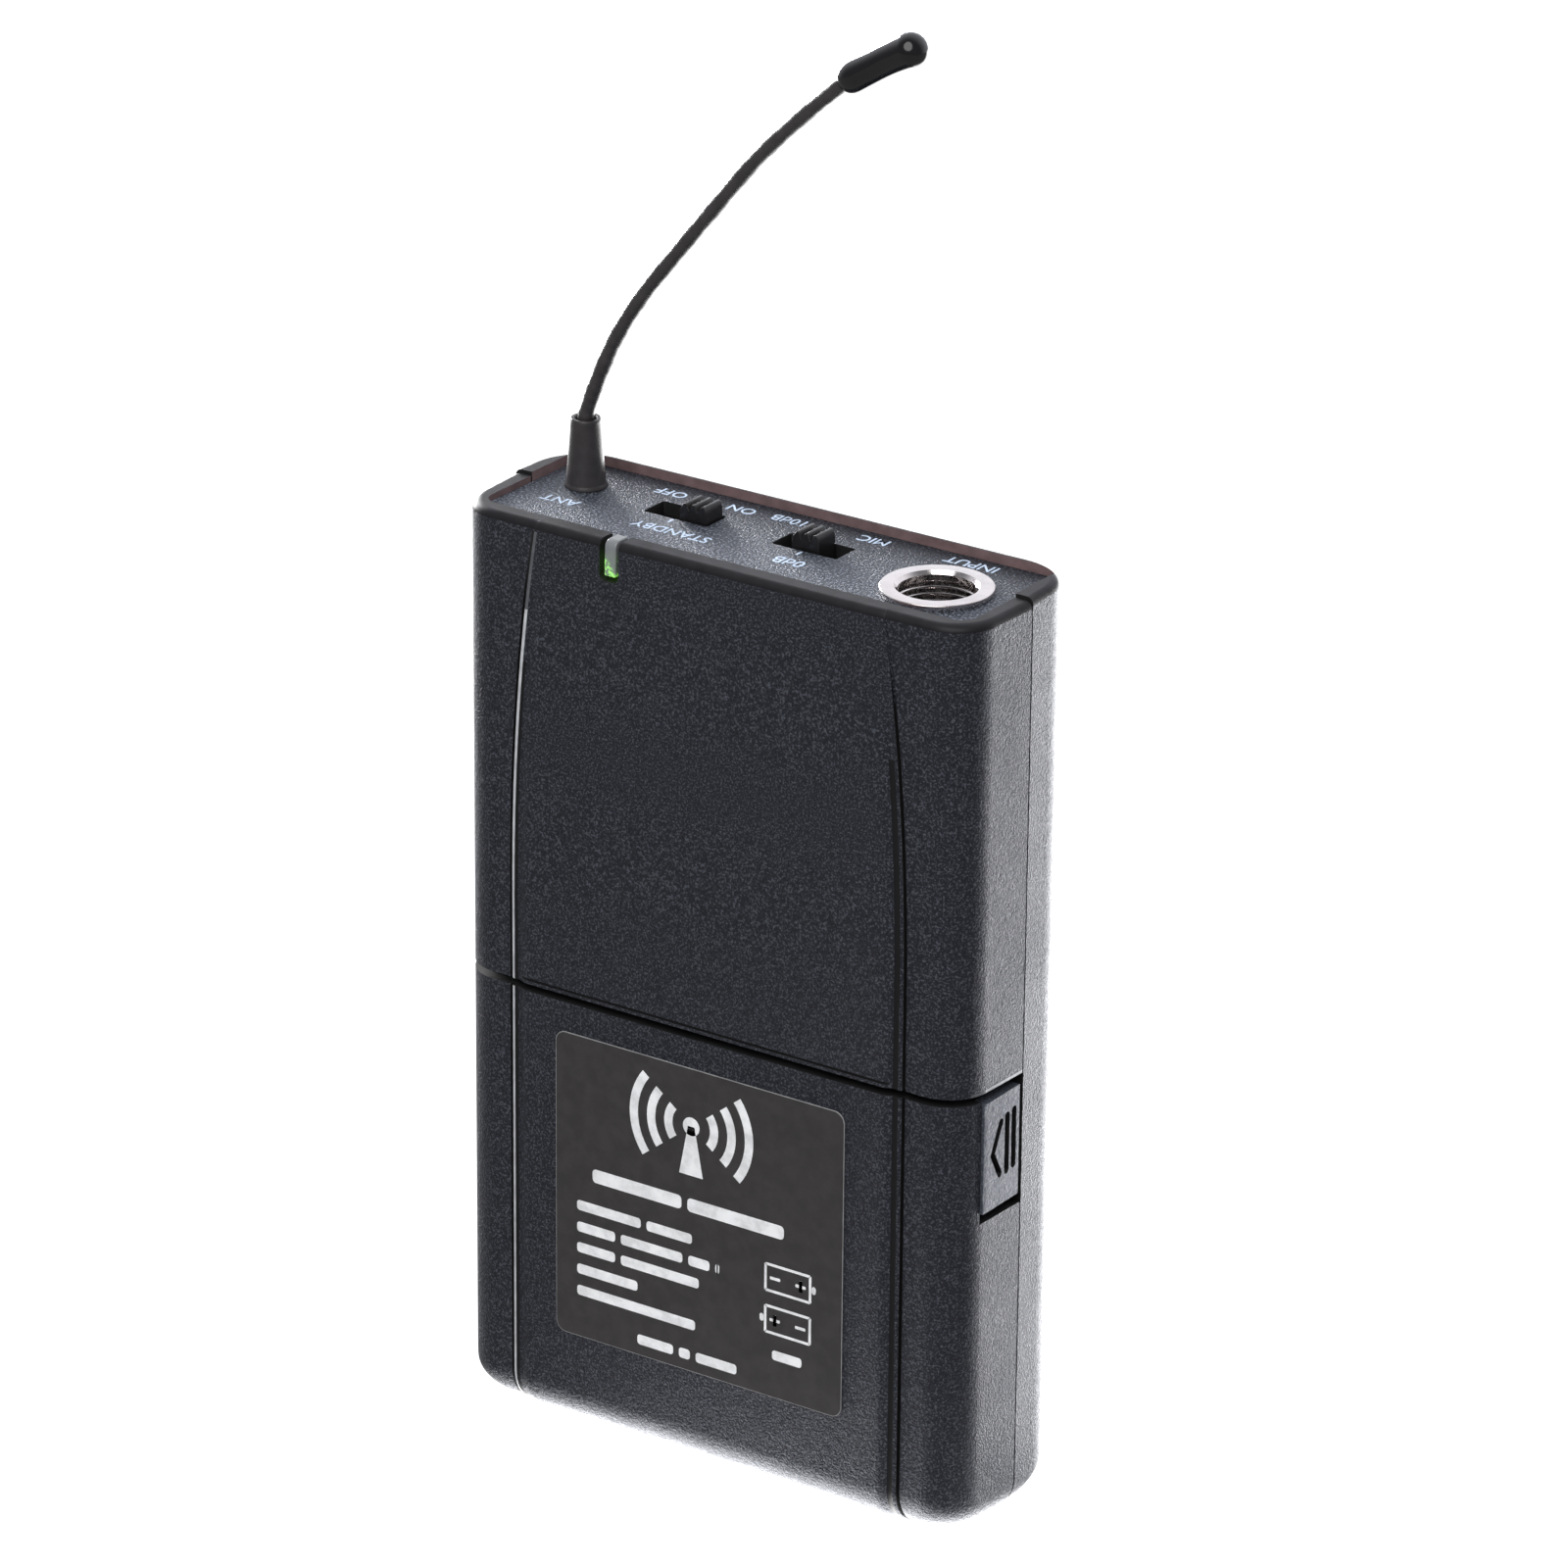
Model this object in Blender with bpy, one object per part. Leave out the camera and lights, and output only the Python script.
"""Wireless bodypack transmitter, modelled as the separate pieces it is assembled from.

Frame: +Z up, the labelled front faces -Y, +X is to the right seen from the front.
The origin is under the middle of the whole object's box, on the surface it stands on.
All dimensions below are in millimetres, measured from the middle of the case in x, from
the front strip face in y and from the base in z. CENTRE_Y moves them to the origin.
"""
import math

import bmesh
import bpy
from mathutils import Matrix, Vector

MM = 0.001
GAP = 0.3                      # air between neighbouring pieces

# Case
WIDTH = 64.0
HEIGHT = 102.5
DEPTH = 20.2
WALL = 1.8
PARTING = 10.9                 # plane between the front and back shells
SEAM = 50.2                    # plane between the door and the front shell
SEAM_GAP = 0.6
CORNER_FRONT = 4.6             # upright corner radii in plan
CORNER_BACK = 5.9
BOTTOM_SIDE = 4.0              # radius of the bottom edge, seen from the front
BOTTOM_FACE = 5.0              # radius of the bottom edge, seen from the side
TOP_EDGE = 0.8
FRONT_TOP = HEIGHT - 0.35      # the front shell's rim ends lower than the back shell's
PANEL_HALF = 24.5              # raised centre panel on the front
PANEL_HALF_TOP = 21.3
PANEL_STRAIGHT = 60.0          # the panel's sides are straight below this height
PANEL_SHOULDER = 2.2
PANEL_RELIEF = 0.55
PANEL_RELIEF_TOP = 0.15

# Top plate, recessed inside the rim
RIM_SIDE = 2.1
RIM_FRONT = 2.2
RIM_BACK = 0.9
RIM_CORNER = 1.8
PLATE_TOP = HEIGHT - 1.0
PLATE_THICK = 1.6
PLATE_UNDER = PLATE_TOP - PLATE_THICK

# Switches: same parts used twice
SLOT_LENGTH = 7.9
SLOT_WIDTH = 3.6
KNOB_LENGTH = 3.3
KNOB_WIDTH = SLOT_WIDTH - 2 * GAP
KNOB_RISE = 1.8
SWITCH_STEP = 2.0
SWITCH_Y = 12.4
POWER_SLOT_X = -11.45
GAIN_SLOT_X = 4.5
SWITCH_BODY_TOP = PLATE_UNDER - 1.8

# Input socket
SOCKET = (21.8, 9.0)
FLANGE_RADIUS = 5.85
FLANGE_THICK = 0.4
THREAD_RADIUS = 4.0
HUB_RADIUS = 4.9
HUB_DEPTH = 4.4
JACK_RADIUS = 1.8
SOCKET_BODY_RADIUS = 5.0
SOCKET_BODY_BASE = 84.0

# Antenna
BOOT = (-24.6, 13.2)
BOOT_HEIGHT = 7.5
BOOT_BASE_RADIUS = 2.1
BOOT_TOP_RADIUS = 1.55
BOOT_BORE = 1.15
WHIP_RADIUS = 0.85
WHIP_ROUTE = (                 # x and z along the whip, from the boot to the cap
    (-24.6, 109.3), (-22.9, 113.8), (-20.6, 118.7), (-17.2, 124.0), (-12.6, 129.8),
    (-8.3, 135.1), (-3.3, 141.1), (1.9, 146.3), (6.9, 150.8),
)
CAP_ROUTE = ((7.5, 151.3), (10.1, 152.9), (12.7, 154.5), (15.1, 155.8))
CAP_RADIUS = 1.8

# Front light
PIPE_X = -12.0
PIPE_HALF = 0.9
PIPE_BOTTOM = 98.3

# Battery door, its hinge and its catches
HINGE_Y = PARTING
HINGE_Z = 1.5
BEAD_RADIUS = 1.5
GROOVE_RADIUS = 2.3
GROOVE_HALF = 29.7             # beyond this the door's lower edge is above its own axis
GROOVE_END = 31.4              # the groove's lower part runs on, clear of the door's foot
PIN_RADIUS = 0.5
LUG_START = 20.3
LUG_END = 22.7
LABEL = (-18.5, 17.8, 11.7, 46.4)
LABEL_CORNER = 1.2
LABEL_THICK = 0.3
CATCH_FRONT = 4.1
CATCH_BACK = 10.4
CATCH_BOTTOM = 37.2
CATCH_TOP = 49.5
CATCH_THICK = 1.6
CATCH_PIVOT = (31.0, 4.6)

# Cells and their tray
CELL_RADIUS = 7.25
CELL_HALF = 25.25
CELL_Y = 9.35
CELL_LOWER_Z = 14.0
CELL_UPPER_Z = 30.0
TRAY_WALL = 28.2
TRAY_FLOOR_Y = 16.9

# Boards
BOARD_Y = 12.6
BOARD_THICK = 1.2
BOARD_HALF = 20.4
BOARD_BOTTOM = 53.0
BOARD_TOP = 88.0
CONTROL_BOARD_Z = 90.0
CONTROL_LEFT = -23.0

# Belt clip
CLIP_OUT = 8.4                 # how far the clip stands off the back of the case
CLIP_PIVOT = (DEPTH + 3.6, 81.0)
CLIP_HALF = 9.3
CLIP_SHEET = 1.5

# Fasteners
CASE_SCREW_X = 23.8
CASE_SCREW_Z = (55.8, 79.0)
BOARD_SCREW = (16.0, 57.0)
CLIP_SCREW = (5.0, 67.5)

CENTRE_Y = (DEPTH + CLIP_OUT - PANEL_RELIEF) / 2

FINISHES = {
    # name: (colour, roughness, metallic)
    "case_plastic": ((0.035, 0.037, 0.045), 0.55, 0.0),
    "plate_plastic": ((0.060, 0.066, 0.075), 0.60, 0.0),
    "knob_plastic": ((0.020, 0.018, 0.019), 0.35, 0.0),
    "label_film": ((0.055, 0.050, 0.053), 0.40, 0.0),
    "antenna_rubber": ((0.030, 0.028, 0.028), 0.50, 0.0),
    "nickel": ((0.75, 0.73, 0.70), 0.22, 1.0),
    "spring_steel": ((0.60, 0.60, 0.62), 0.30, 1.0),
    "clip_steel": ((0.045, 0.045, 0.050), 0.45, 0.6),
    "brass": ((0.78, 0.58, 0.28), 0.30, 1.0),
    "clear_pipe": ((0.55, 0.75, 0.55), 0.10, 0.0),
    "lamp": ((0.10, 0.80, 0.25), 0.20, 0.0),
    "board_green": ((0.02, 0.16, 0.07), 0.45, 0.0),
    "chip_black": ((0.015, 0.015, 0.016), 0.45, 0.0),
    "cell_wrap": ((0.08, 0.09, 0.10), 0.35, 0.3),
    "tray_plastic": ((0.020, 0.020, 0.022), 0.60, 0.0),
}


def clear_scene():
    for item in list(bpy.data.objects):
        bpy.data.objects.remove(item, do_unlink=True)


def material(name):
    """The Principled material of one finish, made once and shared."""
    found = bpy.data.materials.get(name)
    if found:
        return found
    colour, roughness, metallic = FINISHES[name]
    made = bpy.data.materials.new(name)
    made.use_nodes = True
    shader = made.node_tree.nodes["Principled BSDF"]
    shader.inputs["Base Color"].default_value = (*colour, 1.0)
    shader.inputs["Roughness"].default_value = roughness
    shader.inputs["Metallic"].default_value = metallic
    return made


# ---------------------------------------------------------------- shapes, in millimetres

def shape_from(rings, closed_around=False):
    """Skin a stack of equal rings; cap both ends, or join the last ring to the first."""
    bm = bmesh.new()
    rows = [[bm.verts.new(point) for point in ring] for ring in rings]
    count = len(rows[0])
    pairs = list(zip(rows, rows[1:]))
    if closed_around:
        pairs.append((rows[-1], rows[0]))
    for low, high in pairs:
        for i in range(count):
            j = (i + 1) % count
            bm.faces.new((low[i], low[j], high[j], high[i]))
    if not closed_around:
        bm.faces.new(rows[0][::-1])
        bm.faces.new(rows[-1])
    bmesh.ops.recalc_face_normals(bm, faces=bm.faces)
    return bm


def box(low, high, bevel=0.0):
    """Axis-aligned block between two corners, with its edges rounded by bevel."""
    bm = bmesh.new()
    bmesh.ops.create_cube(bm, size=1.0)
    size = [b - a for a, b in zip(low, high)]
    middle = [(a + b) / 2 for a, b in zip(low, high)]
    bmesh.ops.scale(bm, vec=size, verts=bm.verts)
    bmesh.ops.translate(bm, vec=middle, verts=bm.verts)
    if bevel > 0:
        bmesh.ops.bevel(bm, geom=bm.edges[:], offset=bevel, segments=2, profile=0.5,
                        affect='EDGES')
    return bm


def prism(outline, axis, low, high):
    """Extrude a flat outline along an axis: (y, z) for X, (x, z) for Y, (x, y) for Z."""
    if axis == 'X':
        rings = [[(d, a, b) for a, b in outline] for d in (low, high)]
    elif axis == 'Y':
        rings = [[(a, d, b) for a, b in outline] for d in (low, high)]
    else:
        rings = [[(a, b, d) for a, b in outline] for d in (low, high)]
    return shape_from(rings)


def turned(profile, centre, axis='Z', sides=32):
    """Turn a closed (radius, height) profile about an axis through centre.

    A profile that starts and ends on the axis is solid, any other is a ring.
    """
    solid_core = profile[0][0] == 0
    steps = profile[1:-1] if solid_core else profile
    rings = []
    for radius, height in steps:
        ring = []
        for i in range(sides):
            turn = 2 * math.pi * i / sides
            ring.append(Vector((radius * math.cos(turn), radius * math.sin(turn), height)))
        rings.append(ring)
    bm = shape_from(rings, closed_around=not solid_core)
    turn_to = {'X': Matrix.Rotation(math.pi / 2, 4, 'Y'),
               'Y': Matrix.Rotation(-math.pi / 2, 4, 'X'),
               'Z': Matrix.Identity(4)}[axis]
    bmesh.ops.transform(bm, matrix=Matrix.Translation(centre) @ turn_to, verts=bm.verts)
    return bm


def rod(centre, axis, radius, low, high, sides=24):
    """Plain cylinder on an axis; low and high are measured from centre along it."""
    return turned([(0, low), (radius, low), (radius, high), (0, high)], centre, axis, sides)


def swept(route, radius, sides=10):
    """Round section along a route of points; radius is one value or one for each point."""
    points = [Vector(p) for p in route]
    radii = radius if isinstance(radius, list) else [radius] * len(points)
    side = None
    rings = []
    for i, point in enumerate(points):
        ahead = points[min(i + 1, len(points) - 1)] - points[max(i - 1, 0)]
        ahead.normalize()
        if side is None:
            guess = Vector((0, 1, 0)) if abs(ahead.y) < 0.9 else Vector((1, 0, 0))
            side = guess
        side = (side - ahead * side.dot(ahead)).normalized()
        across = ahead.cross(side)
        ring = []
        for k in range(sides):
            turn = 2 * math.pi * k / sides
            ring.append(point + radii[i] * (math.cos(turn) * side + math.sin(turn) * across))
        rings.append(ring)
    return shape_from(rings)


def smooth_route(points, steps):
    """Catmull-Rom curve through points, with the given number of steps per span."""
    knots = [Vector(p) for p in points]
    knots = [2 * knots[0] - knots[1]] + knots + [2 * knots[-1] - knots[-2]]
    route = []
    for a, b, c, d in zip(knots, knots[1:], knots[2:], knots[3:]):
        for i in range(steps):
            t = i / steps
            route.append(0.5 * (2 * b + (c - a) * t + (2 * a - 5 * b + 4 * c - d) * t ** 2
                                + (3 * b - a - 3 * c + d) * t ** 3))
    route.append(knots[-2])
    return route


def rounded_outline(left, right, low, high, radius, steps=4):
    """Rectangle with round corners, as (a, b) points running counter-clockwise."""
    corners = ((right - radius, low + radius, -90), (right - radius, high - radius, 0),
               (left + radius, high - radius, 90), (left + radius, low + radius, 180))
    points = []
    for a, b, start in corners:
        for i in range(steps + 1):
            turn = math.radians(start + 90 * i / steps)
            points.append((a + radius * math.cos(turn), b + radius * math.sin(turn)))
    return points


# ---------------------------------------------------------------- objects

def solid(name, bm, finish, pivot=None, smooth_under=40):
    """Turn a shape in millimetres into a named object whose origin is its pivot."""
    origin = Vector(pivot) if pivot else Vector((0, CENTRE_Y, 0))
    bmesh.ops.translate(bm, vec=-origin, verts=bm.verts)
    bmesh.ops.scale(bm, vec=(MM, MM, MM), verts=bm.verts)
    mesh = bpy.data.meshes.new(name)
    bm.to_mesh(mesh)
    bm.free()
    mesh.shade_smooth()
    mesh.set_sharp_from_angle(angle=math.radians(smooth_under))
    mesh.materials.append(material(finish))
    made = bpy.data.objects.new(name, mesh)
    made.location = (origin - Vector((0, CENTRE_Y, 0))) * MM
    bpy.context.collection.objects.link(made)
    return made


def combine(target, bm, operation):
    """Boolean another shape, in millimetres, into an object."""
    count = len(target.modifiers)
    tool = solid(f"{target.name}_tool_{count}", bm, "case_plastic")
    tool.hide_render = True
    tool.display_type = 'WIRE'
    step = target.modifiers.new(f"{operation.lower()}_{count}", 'BOOLEAN')
    step.operation = operation
    step.solver = 'EXACT'
    step.object = tool


def cut(target, bm):
    combine(target, bm, 'DIFFERENCE')


def join(target, bm):
    combine(target, bm, 'UNION')


def keep(target, bm):
    combine(target, bm, 'INTERSECT')


# ---------------------------------------------------------------- case outline

def rounding(height, radius):
    """Inset of a round edge at a height above the edge's lowest line."""
    rise = min(max(height, 0.0), radius)
    return radius - math.sqrt(radius ** 2 - (radius - rise) ** 2)


def panel_half(z):
    """Half-width of the raised panel, which narrows in a gentle curve to the top."""
    rise = max(z - PANEL_STRAIGHT, 0) / (HEIGHT - PANEL_STRAIGHT)
    return PANEL_HALF - (PANEL_HALF - PANEL_HALF_TOP) * rise ** 2.2


def panel_relief(z):
    """How far the panel stands forward of the strips beside it."""
    rise = max(z - PANEL_STRAIGHT, 0) / (HEIGHT - PANEL_STRAIGHT)
    return PANEL_RELIEF + (PANEL_RELIEF_TOP - PANEL_RELIEF) * rise


def case_ring(z, inset=0.0, rim=HEIGHT):
    """Outline of the case at height z, or of its inside where inset is the wall."""
    top = TOP_EDGE - min(rim - z, TOP_EDGE)
    over = TOP_EDGE - math.sqrt(TOP_EDGE ** 2 - max(top, 0) ** 2) if inset == 0 else 0.0
    side = WIDTH / 2 - inset - rounding(z - inset, BOTTOM_SIDE - inset) - over
    front = inset + rounding(z - inset, BOTTOM_FACE - inset) + over
    back = DEPTH - inset - rounding(z - inset, BOTTOM_FACE - inset) - over
    room = 0.45 * (back - front)
    half = panel_half(z)
    near = min(max(CORNER_FRONT - inset, 0.4), room, side - half - 0.1)
    far = min(CORNER_BACK - inset, room)
    relief = panel_relief(z) if inset == 0 else 0.0
    outline = [(-half, front), (-half + 0.25, front - 0.55 * relief),
               (-half + PANEL_SHOULDER, front - relief),
               (half - PANEL_SHOULDER, front - relief),
               (half - 0.25, front - 0.55 * relief), (half, front)]
    corners = ((side - near, front + near, near, -90), (side - far, back - far, far, 0),
               (far - side, back - far, far, 90), (near - side, front + near, near, 180))
    for x, y, radius, start in corners:
        for i in range(6):
            turn = math.radians(start + 90 * i / 5)
            outline.append((x + radius * math.cos(turn), y + radius * math.sin(turn)))
    return [(x, y, z) for x, y in outline]


def case_outside(rim=HEIGHT):
    levels = [0.0, 0.3, 0.8, 1.6, 2.7, 4.0, BOTTOM_FACE, PANEL_STRAIGHT, 70.0, 79.0, 86.0, 92.0, 97.5]
    levels += [rim - TOP_EDGE * (1 - math.sin(math.radians(a))) for a in (0, 30, 60, 90)]
    return shape_from([case_ring(z, 0.0, rim) for z in levels])


def case_inside():
    levels = [WALL, WALL + 0.3, 3.0, 4.0, BOTTOM_FACE, PLATE_UNDER - 2 * GAP]
    return shape_from([case_ring(z, WALL) for z in levels])


def rim_opening():
    outline = rounded_outline(RIM_SIDE - WIDTH / 2, WIDTH / 2 - RIM_SIDE, RIM_FRONT,
                              DEPTH - RIM_BACK, RIM_CORNER)
    return prism(outline, 'Z', PLATE_UNDER - 3 * GAP, HEIGHT + 1)


def zone(y_low, y_high, z_low, z_high):
    return box((-WIDTH, y_low, z_low), (WIDTH, y_high, z_high))


# ---------------------------------------------------------------- case pieces

def build_front_shell():
    shell = solid("front_shell", case_outside(FRONT_TOP), "case_plastic")
    keep(shell, zone(-DEPTH, PARTING - GAP / 2, SEAM + SEAM_GAP / 2, 2 * HEIGHT))
    cut(shell, case_inside())
    cut(shell, rim_opening())
    light_slot = box((PIPE_X - PIPE_HALF - 0.4, -2, PIPE_BOTTOM - GAP),
                     (PIPE_X + PIPE_HALF + GAP, RIM_FRONT + GAP, HEIGHT + 2))
    cut(shell, light_slot)
    for side in (-1, 1):
        for z in CASE_SCREW_Z:
            centre = (side * CASE_SCREW_X, 0, z)
            join(shell, rod(centre, 'Y', 2.2, 1.0, 13.2, 20))
            cut(shell, rod(centre, 'Y', 1.3, 3.0, 15.0, 16))


def build_back_shell():
    shell = solid("back_shell", case_outside(), "case_plastic")
    keep(shell, zone(PARTING + GAP / 2, 2 * DEPTH, -1, 2 * HEIGHT))
    cut(shell, case_inside())
    cut(shell, rim_opening())
    axis_point = (0, HINGE_Y, HINGE_Z)
    cut(shell, rod(axis_point, 'X', GROOVE_RADIUS, -GROOVE_HALF, GROOVE_HALF, 24))
    for side in (-1, 1):
        near, far = sorted((side * (GROOVE_HALF - 0.5), side * GROOVE_END))
        cut(shell, box((near, PARTING, -1), (far, HINGE_Y + GROOVE_RADIUS, HINGE_Z + 0.2)))
    for side in (-1, 1):
        near, far = sorted((side * LUG_START, side * LUG_END))
        nose = [(HINGE_Y + 1.2 * math.sin(a), HINGE_Z - 1.2 * math.cos(a))
                for a in (-math.pi * i / 8 for i in range(9))]
        join(shell, prism(nose + [(14.6, HINGE_Z + 1.2), (14.6, HINGE_Z - 1.2)], 'X', near, far))
    cut(shell, rod(axis_point, 'X', PIN_RADIUS + GAP, -LUG_END - 1, LUG_END + 1, 16))
    for side in (-1, 1):
        for z in CASE_SCREW_Z:
            centre = (side * CASE_SCREW_X, 0, z)
            join(shell, rod(centre, 'Y', 3.0, 13.5, DEPTH - 1.0, 20))
            cut(shell, rod(centre, 'Y', 1.3, 12.0, DEPTH + 1, 16))
            cut(shell, rod(centre, 'Y', 2.2, DEPTH - 2.0, DEPTH + 1, 20))
        x, z = side * BOARD_SCREW[0], BOARD_SCREW[1]
        join(shell, rod((x, 0, z), 'Y', 2.0, BOARD_Y + BOARD_THICK + GAP, DEPTH - 1.0, 16))
        cut(shell, rod((x, 0, z), 'Y', 1.1, 12.0, DEPTH - 1.6, 16))
        cut(shell, rod((side * CLIP_SCREW[0], 0, CLIP_SCREW[1]), 'Y', 1.3, 12.0, DEPTH + 1, 16))


def build_top_plate():
    outline = rounded_outline(RIM_SIDE + GAP - WIDTH / 2, WIDTH / 2 - RIM_SIDE - GAP,
                              RIM_FRONT + GAP, DEPTH - RIM_BACK - GAP, RIM_CORNER - GAP)
    plate = solid("top_plate", prism(outline, 'Z', PLATE_UNDER, PLATE_TOP), "plate_plastic")
    for x in (POWER_SLOT_X, GAIN_SLOT_X):
        cut(plate, box((x - SLOT_LENGTH / 2, SWITCH_Y - SLOT_WIDTH / 2, PLATE_UNDER - 1),
                       (x + SLOT_LENGTH / 2, SWITCH_Y + SLOT_WIDTH / 2, PLATE_TOP + 1)))
    cut(plate, rod((*SOCKET, 0), 'Z', HUB_RADIUS + GAP, PLATE_UNDER - 1, PLATE_TOP + 1, 32))
    cut(plate, rod((*BOOT, 0), 'Z', BOOT_BORE + GAP, PLATE_UNDER - 1, PLATE_TOP + 1, 16))


def build_light():
    edge = [(TOP_EDGE * (1 - math.cos(a)), FRONT_TOP - TOP_EDGE * (1 - math.sin(a)))
            for a in (math.radians(30 * i) for i in range(4))]
    outline = [(0, PIPE_BOTTOM), *edge, (RIM_FRONT, FRONT_TOP), (RIM_FRONT, PIPE_BOTTOM + 0.6),
               (4.2, PIPE_BOTTOM + 0.6), (4.2, 97.0), (WALL + GAP, 97.0),
               (WALL + GAP, PIPE_BOTTOM)]
    solid("light_pipe", prism(outline, 'X', PIPE_X - PIPE_HALF, PIPE_X + PIPE_HALF), "clear_pipe")
    base = CONTROL_BOARD_Z + BOARD_THICK + GAP
    dome = [(0, base), (1.2, base), (1.2, base + 0.8), (0.9, base + 0.9), (0.9, 95.6),
            (0.6, 96.3), (0, 96.6)]
    solid("status_led", turned(dome, (PIPE_X, 3.8, 0), 'Z', 16), "lamp")


# ---------------------------------------------------------------- battery door

def build_battery_door():
    pivot = (0, HINGE_Y, HINGE_Z)
    door = solid("battery_door", case_outside(), "case_plastic", pivot)
    keep(door, zone(-DEPTH, PARTING - GAP / 2, -1, SEAM - SEAM_GAP / 2))
    cut(door, case_inside())
    half = LUG_START - 2 * GAP
    join(door, rod(pivot, 'X', BEAD_RADIUS, -half, half, 24))
    for side in (-1, 1):
        near, far = sorted((side * (LUG_START - GAP), side * (LUG_END + GAP)))
        cut(door, box((near, 9.1, -1), (far, 13, 3.6)))
        near, far = sorted((side * (WIDTH / 2 - CATCH_THICK - 2 * GAP), side * WIDTH))
        cut(door, box((near, CATCH_FRONT - GAP, CATCH_BOTTOM - 1.0), (far, DEPTH, SEAM + 1)))
    cut(door, rod(pivot, 'X', PIN_RADIUS + GAP, -half - 1, half + 1, 16))
    left, right, low, high = LABEL
    recess = rounded_outline(left - GAP, right + GAP, low - GAP, high + GAP, LABEL_CORNER + GAP)
    cut(door, prism(recess, 'Y', -2, LABEL_THICK + GAP - PANEL_RELIEF))
    label = prism(rounded_outline(left, right, low, high, LABEL_CORNER), 'Y', -PANEL_RELIEF,
                  LABEL_THICK - PANEL_RELIEF)
    solid("door_label", label, "label_film", pivot)
    pin = rod(pivot, 'X', PIN_RADIUS, -LUG_END + GAP, LUG_END - GAP, 12)
    solid("door_hinge_pin", pin, "spring_steel", pivot)


def build_catches():
    for side, name in ((-1, "left"), (1, "right")):
        pivot = (side * CATCH_PIVOT[0], CATCH_PIVOT[1], (CATCH_BOTTOM + CATCH_TOP) / 2)
        catch = solid(f"door_catch_{name}", case_outside(), "case_plastic", pivot)
        near, far = sorted((side * (WIDTH / 2 - CATCH_THICK), side * WIDTH))
        keep(catch, box((near, CATCH_FRONT, CATCH_BOTTOM), (far, CATCH_BACK, CATCH_TOP)))
        near, far = sorted((side * 28.6, side * 30.8))
        join(catch, box((near, 9.0, 39.0), (far, 10.2, 47.5)))
        near, far = sorted((side * 28.6, side * 29.8))
        join(catch, box((near, 9.6, 39.0), (far, 12.4, 47.5)))
        near, far = sorted((side * 29.4, side * 29.7))
        spring = box((near, 4.6, 41.0), (far, 8.5, 46.0))
        solid(f"catch_spring_{name}", spring, "spring_steel", (0, HINGE_Y, HINGE_Z))


# ---------------------------------------------------------------- cells and contacts

def build_cells():
    for name, z, plus in (("upper", CELL_UPPER_Z, -1), ("lower", CELL_LOWER_Z, 1)):
        profile = [(0, -CELL_HALF), (4.8, -CELL_HALF), (6.8, -CELL_HALF + 0.2),
                   (CELL_RADIUS, -CELL_HALF + 0.8), (CELL_RADIUS, CELL_HALF - 1.8),
                   (6.8, CELL_HALF - 1.2), (2.7, CELL_HALF - 1.0), (2.7, CELL_HALF - 0.2),
                   (2.4, CELL_HALF), (0, CELL_HALF)]
        cell = turned([(r, plus * h) for r, h in profile], (0, CELL_Y, z), 'X', 28)
        solid(f"battery_cell_{name}", cell, "cell_wrap")
        # the spring presses on the flat end, the button presses on a plate
        coil = []
        for i in range(33):
            turn = 2 * math.pi * i / 16
            radius = 4.2 - 0.95 * i / 16
            along = -plus * (CELL_HALF + 0.62 + 0.9 * i / 32)
            coil.append((along, CELL_Y + radius * math.cos(turn), z + radius * math.sin(turn)))
        solid(f"contact_spring_{name}", swept(coil, 0.3, 6), "nickel")
    plates = {
        "contact_bridge": (-1, CELL_LOWER_Z - 5, CELL_UPPER_Z + 5),
        "contact_plate_lower": (1, CELL_LOWER_Z - 5, CELL_LOWER_Z + 5),
        "contact_plate_upper": (1, CELL_UPPER_Z - 5, CELL_UPPER_Z + 5),
    }
    for name, (side, low, high) in plates.items():
        near, far = sorted((side * (TRAY_WALL - GAP - 0.4), side * (TRAY_WALL - GAP)))
        solid(name, box((near, CELL_Y - 4.5, low), (far, CELL_Y + 4.5, high)), "nickel")


def build_battery_tray():
    back = TRAY_FLOOR_Y + 1.1
    floor = box((1.2 - TRAY_WALL, TRAY_FLOOR_Y, 5.4), (TRAY_WALL - 1.2, back, 51.4))
    tray = solid("battery_tray", floor, "tray_plastic")
    inside = WIDTH / 2 - WALL - 0.4
    deck = rounded_outline(-inside, inside, WALL + 0.4, back, 3.8)
    join(tray, prism(deck, 'Z', 50.9, 52.1))
    for side in (-1, 1):
        wall = [(TRAY_WALL, 3.0), (TRAY_WALL + 1.0, 3.0), (TRAY_WALL + 1.0, 16.5),
                (TRAY_WALL - 0.3, 17.6), (TRAY_WALL - 1.6, back), (TRAY_WALL - 2.4, back),
                (TRAY_WALL - 2.4, 15.4), (TRAY_WALL, 15.4)]
        join(tray, prism([(side * x, y) for x, y in wall], 'Z', 7.2, 36.6))


# ---------------------------------------------------------------- electronics

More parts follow.
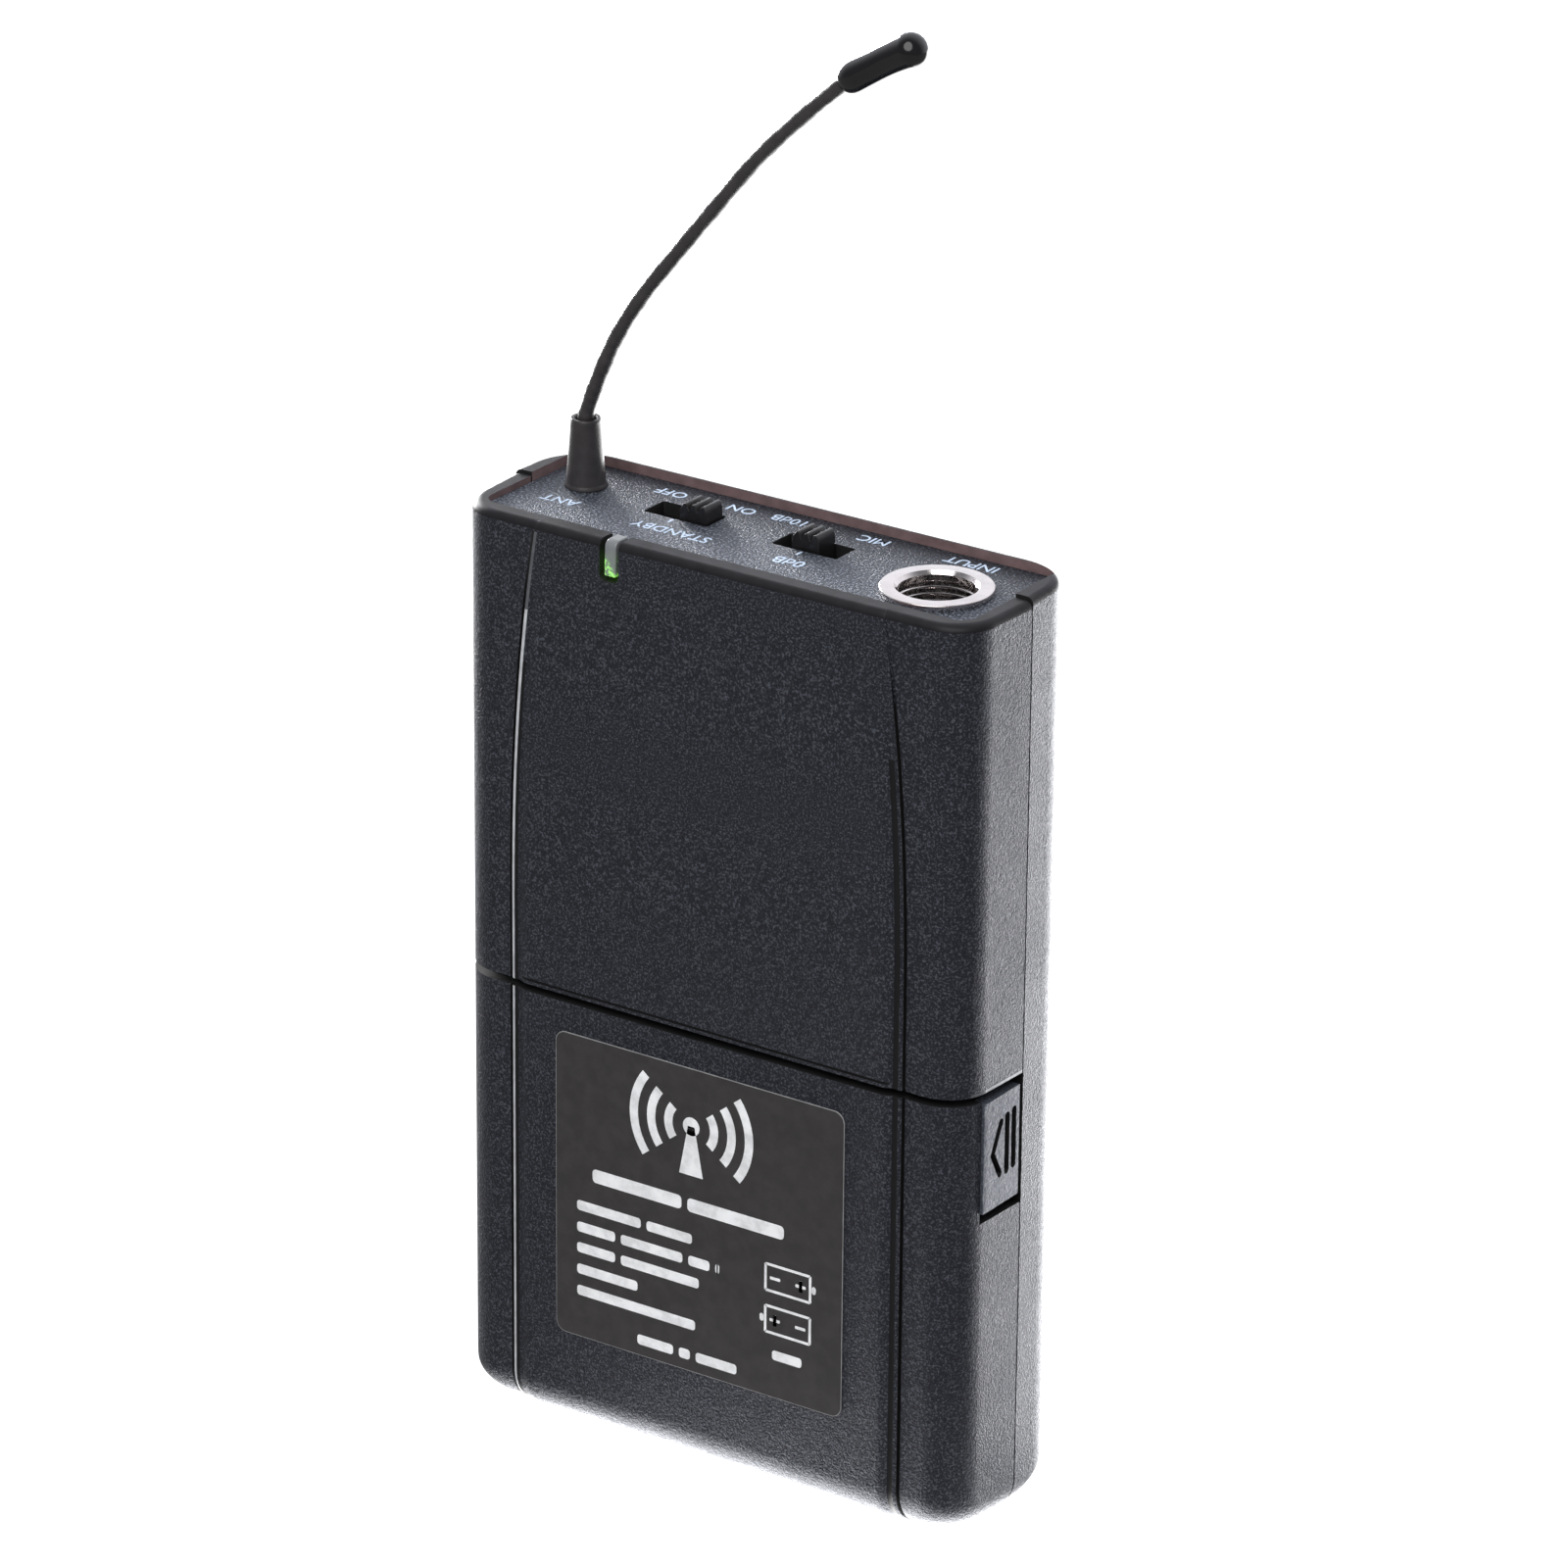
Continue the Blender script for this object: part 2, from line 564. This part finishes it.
def build_boards():
    low, high = BOARD_Y, BOARD_Y + BOARD_THICK
    outline = [(-BOARD_HALF, BOARD_BOTTOM), (BOARD_HALF, BOARD_BOTTOM), (BOARD_HALF, 80.0),
               (14.0, 80.0), (14.0, BOARD_TOP), (-BOARD_HALF, BOARD_TOP)]
    board = solid("main_board", prism(outline, 'Y', low, high), "board_green")
    for side in (-1, 1):
        x, z = side * BOARD_SCREW[0], BOARD_SCREW[1]
        cut(board, rod((x, 0, z), 'Y', 1.1, low - 1, high + 1, 16))
        screw(f"board_screw_{'left' if side < 0 else 'right'}", (x, z), low - GAP, -1, 1.6, 0.9,
              0.8, 5.0)
    control = box((CONTROL_LEFT, 3.0, CONTROL_BOARD_Z), (14.0, 17.0, CONTROL_BOARD_Z + BOARD_THICK))
    solid("control_board", control, "board_green")
    pieces = {
        "rf_shield_can": ((-19.5, high + GAP, 71.5), (-3.0, 17.4, 87.0), 0.4, "nickel"),
        "oscillator_crystal": ((4.0, high + GAP, 77.0), (11.0, 16.6, 81.0), 0.8, "nickel"),
        "processor_chip": ((1.5, low - GAP - 1.2, 63.0), (11.5, low - GAP, 73.0), 0.15,
                           "chip_black"),
        "audio_chip": ((-18.0, low - GAP - 1.2, 76.0), (-12.0, low - GAP, 84.0), 0.15,
                       "chip_black"),
        "board_connector": ((-9.0, 9.9, 83.0), (3.0, low - GAP, CONTROL_BOARD_Z - GAP), 0.0,
                            "tray_plastic"),
    }
    for name, (corner, other, bevel, finish) in pieces.items():
        solid(name, box(corner, other, bevel), finish)
    face = low - GAP
    inductor = [(0, face), (3.4, face), (3.4, face - 2.6), (2.9, face - 3.0), (0, face - 3.0)]
    solid("power_inductor", turned(inductor, (-13.0, 0, 63.0), 'Y', 20), "chip_black")
    for name, x in (("left", -5.5), ("right", 16.0)):
        can = [(0, face), (2.5, face), (2.5, face - 5.0), (2.2, face - 5.4), (0, face - 5.4)]
        solid(f"capacitor_{name}", turned(can, (x, 0, 68.0), 'Y', 20), "spring_steel")


def screw(name, centre, face, toward, head_radius, head, shank_radius, length):
    """Machine screw along Y: its head stands off face towards -1 or 1, cross recess cut."""
    top = face + toward * head
    end = face - toward * length
    profile = [(0, top), (head_radius * 0.8, top), (head_radius, top - toward * head * 0.35),
               (head_radius, face), (shank_radius, face), (shank_radius, end + toward * 0.4),
               (shank_radius * 0.6, end), (0, end)]
    made = solid(name, turned(profile, (centre[0], 0, centre[1]), 'Y', 16), "spring_steel")
    depth = sorted((top + toward, top - toward * head * 0.5))
    for wide, tall in ((head_radius * 0.55, 0.2), (0.2, head_radius * 0.55)):
        cut(made, box((centre[0] - wide, depth[0], centre[1] - tall),
                      (centre[0] + wide, depth[1], centre[1] + tall)))


def build_case_screws():
    for side, name in ((-1, "left"), (1, "right")):
        for z, level in zip(CASE_SCREW_Z, ("lower", "upper")):
            screw(f"case_screw_{level}_{name}", (side * CASE_SCREW_X, z), DEPTH - 2.0 + GAP, 1,
                  1.9, 1.2, 1.0, 12.5)


# ---------------------------------------------------------------- controls on the top

def knob_outline(x):
    """Slider knob seen from the front: a stem with three saw-tooth ridges on top."""
    left, right = x - KNOB_LENGTH / 2, x + KNOB_LENGTH / 2
    top = PLATE_TOP + KNOB_RISE
    tooth = KNOB_LENGTH / 3
    points = [(left, SWITCH_BODY_TOP + GAP), (right, SWITCH_BODY_TOP + GAP), (right, top - 0.75)]
    for i in (2, 1, 0):
        points += [(left + (i + 0.75) * tooth, top), (left + (i + 0.45) * tooth, top)]
        points.append((left + i * tooth, top - 0.75))
    return points


def build_switches():
    places = (("power", POWER_SLOT_X, SWITCH_STEP), ("gain", GAIN_SLOT_X, 0.0))
    for name, slot, rest in places:
        low = (slot - 5.4, SWITCH_Y - 3.2, CONTROL_BOARD_Z + BOARD_THICK + GAP)
        high = (slot + 5.4, SWITCH_Y + 3.2, SWITCH_BODY_TOP)
        solid(f"{name}_switch_body", box(low, high), "spring_steel")
        knob = prism(knob_outline(slot + rest), 'Y', SWITCH_Y - KNOB_WIDTH / 2,
                     SWITCH_Y + KNOB_WIDTH / 2)
        solid(f"{name}_switch_knob", knob, "knob_plastic", (slot + rest, SWITCH_Y, PLATE_TOP))


def build_socket():
    seat = PLATE_TOP + GAP
    low = seat - HUB_DEPTH
    ring = [(THREAD_RADIUS, seat + FLANGE_THICK), (FLANGE_RADIUS - 0.15, seat + FLANGE_THICK),
            (FLANGE_RADIUS, seat + 0.25), (FLANGE_RADIUS, seat), (HUB_RADIUS, seat),
            (HUB_RADIUS, low), (THREAD_RADIUS, low)]
    solid("socket_ring", turned(ring, (*SOCKET, 0), 'Z', 40), "nickel")
    top = low - GAP
    body = [(JACK_RADIUS + 0.9, top), (SOCKET_BODY_RADIUS, top),
            (SOCKET_BODY_RADIUS, SOCKET_BODY_BASE), (JACK_RADIUS + 0.9, SOCKET_BODY_BASE)]
    solid("socket_body", turned(body, (*SOCKET, 0), 'Z', 32), "tray_plastic")
    sleeve = [(JACK_RADIUS, top), (JACK_RADIUS + 0.6, top), (JACK_RADIUS + 0.6, 87.0),
              (JACK_RADIUS, 87.0)]
    solid("socket_sleeve", turned(sleeve, (*SOCKET, 0), 'Z', 20), "nickel")


def build_antenna():
    seat = PLATE_TOP + GAP
    mouth = PLATE_TOP + BOOT_HEIGHT
    boot = [(BOOT_BORE, seat), (BOOT_BASE_RADIUS, seat), (BOOT_BASE_RADIUS, seat + 1.0),
            (BOOT_TOP_RADIUS, mouth - 0.3), (BOOT_TOP_RADIUS - 0.1, mouth), (BOOT_BORE, mouth)]
    solid("antenna_boot", turned(boot, (*BOOT, 0), 'Z', 24), "antenna_rubber")
    ferrule = rod((*BOOT, 0), 'Z', WHIP_RADIUS, PLATE_UNDER - 2.5, mouth - GAP, 16)
    solid("antenna_ferrule", ferrule, "brass")
    route = smooth_route([(x, BOOT[1], z) for x, z in WHIP_ROUTE], 4)
    pivot = (BOOT[0], BOOT[1], mouth)
    solid("antenna_whip", swept(route, WHIP_RADIUS, 12), "antenna_rubber", pivot)
    line = smooth_route([(x, BOOT[1], z) for x, z in CAP_ROUTE], 3)
    ahead = (line[-1] - line[-2]).normalized()
    radii = [CAP_RADIUS * (0.80 + 0.20 * min(i / 3, 1)) for i in range(len(line))]
    for turn in (30, 60, 85):
        line.append(line[9] + ahead * CAP_RADIUS * math.sin(math.radians(turn)) * 0.8)
        radii.append(CAP_RADIUS * math.cos(math.radians(turn)))
    solid("antenna_tip_cap", swept(line, radii, 20), "antenna_rubber", pivot)
    end = PLATE_UNDER - 2.5 - GAP
    lead = [(BOOT[0], BOOT[1], end), (BOOT[0], BOOT[1], end - 2.0), (-24.8, 13.6, 91.0),
            (-23.8, 14.8, 88.0), (-21.6, 15.8, 85.5)]
    solid("antenna_lead", swept(smooth_route(lead, 3), 0.5, 8), "chip_black")


# ---------------------------------------------------------------- belt clip

def build_clip():
    face = DEPTH + GAP
    pivot = (0, *CLIP_PIVOT)
    bracket = solid("clip_bracket", box((-11.2, face, 63.5), (11.2, face + 1.0, 86.0), 0.2),
                    "clip_steel")
    ear = [(face + 0.5, 74.0), (face + 2.0, 74.0), (CLIP_PIVOT[0] + 1.7, 79.5),
           (CLIP_PIVOT[0] + 1.7, 82.5), (CLIP_PIVOT[0] + 0.5, 83.6), (face + 0.5, 86.0)]
    for side in (-1, 1):
        near, far = sorted((side * (CLIP_HALF + 0.5), side * (CLIP_HALF + 1.7)))
        join(bracket, prism(ear, 'X', near, far))
        cut(bracket, rod((side * CLIP_SCREW[0], 0, CLIP_SCREW[1]), 'Y', 1.3, DEPTH - 1,
                         DEPTH + 3, 16))
        screw(f"clip_screw_{'left' if side < 0 else 'right'}",
              (side * CLIP_SCREW[0], CLIP_SCREW[1]), face + 1.0 + GAP, 1, 1.8, 0.9, 1.0, 5.2)
    cut(bracket, rod(pivot, 'X', 1.3, -13, 13, 16))
    solid("clip_pin", rod(pivot, 'X', 1.0, -11.4, 11.4, 16), "spring_steel", pivot)
    outer = DEPTH + CLIP_OUT
    line = [(outer, 90.5), (outer - 0.5, 86.0), (outer - 0.6, 80.0), (outer - 1.6, 70.0),
            (outer - 5.4, 34.0), (outer - 5.8, 29.0), (outer - 5.2, 25.0), (outer - 3.8, 22.5)]
    inner = [(y - CLIP_SHEET, z) for y, z in reversed(line)]
    lever = solid("clip_lever", prism(line + inner, 'X', -CLIP_HALF, CLIP_HALF), "clip_steel",
                  pivot)
    for side in (-1, 1):
        near, far = sorted((side * 5.5, side * CLIP_HALF))
        web = [(CLIP_PIVOT[0] + 2.0 * math.cos(a), CLIP_PIVOT[1] + 2.0 * math.sin(a))
               for a in (math.pi / 2 + math.pi * i / 8 for i in range(9))]
        web += [(outer - 1.2, CLIP_PIVOT[1] - 2.0), (outer - 1.2, CLIP_PIVOT[1] + 2.0)]
        join(lever, prism(web, 'X', near, far))
    cut(lever, rod(pivot, 'X', 1.3, -13, 13, 16))
    coil = []
    for i in range(61):
        turn = 2 * math.pi * i / 12
        coil.append((-3.6 + 7.2 * i / 60, CLIP_PIVOT[0] + 1.75 * math.cos(turn),
                     CLIP_PIVOT[1] + 1.75 * math.sin(turn)))
    solid("clip_spring", swept(coil, 0.35, 6), "spring_steel", pivot)


def build():
    clear_scene()
    build_back_shell()
    build_front_shell()
    build_top_plate()
    build_light()
    build_battery_door()
    build_catches()
    build_battery_tray()
    build_cells()
    build_boards()
    build_case_screws()
    build_switches()
    build_socket()
    build_antenna()
    build_clip()


build()
